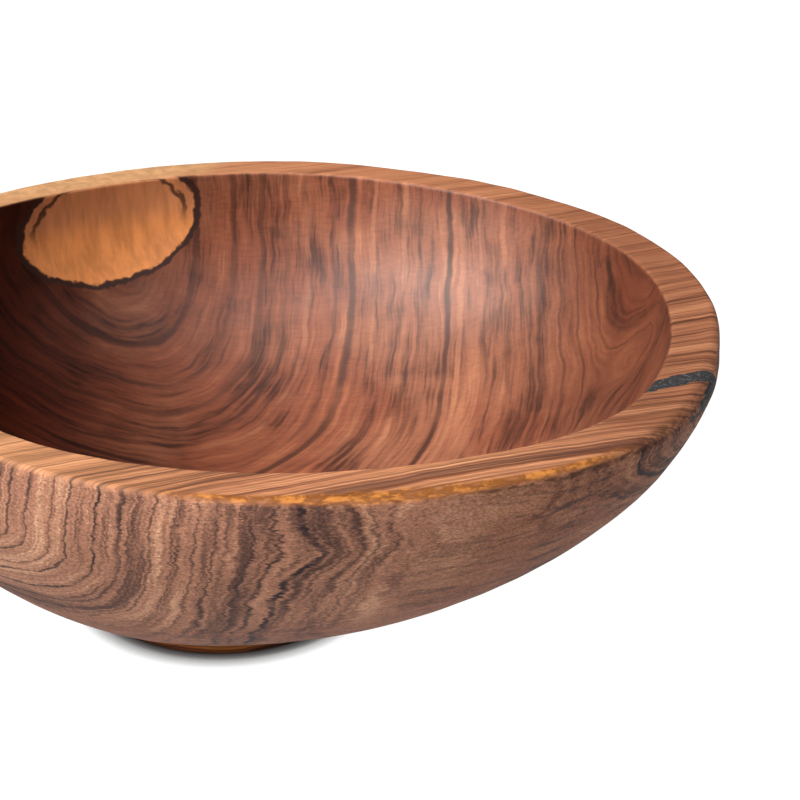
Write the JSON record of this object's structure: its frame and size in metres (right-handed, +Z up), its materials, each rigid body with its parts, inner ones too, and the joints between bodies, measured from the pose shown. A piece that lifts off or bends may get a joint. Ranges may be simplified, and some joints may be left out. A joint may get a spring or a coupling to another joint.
{
  "type": "wooden bowl",
  "caption": "Open hand-carved hardwood bowl with a thick flat rim and a low round foot, deep and wide enough to hold a ball of yarn.",
  "frame": {"origin": "centre of the foot's flat underside, on the table", "axes": "+Z up, out of the mouth; +X towards the side whose rim is lowest and widest, with the filled crack; +Y to the back"},
  "size_m": [0.2501, 0.2508, 0.0982],
  "materials": {
    "bowl_wood": "oiled, satin inside and duller outside",
    "foot_wood": "oiled, satin",
    "crack_filler": "sanded flush, matte charcoal"
  },
  "bodies": {
    "root": {"bowl_body": "bowl_wood", "foot": "foot_wood", "crack_filler": "crack_filler"}
  },
  "joints": []
}
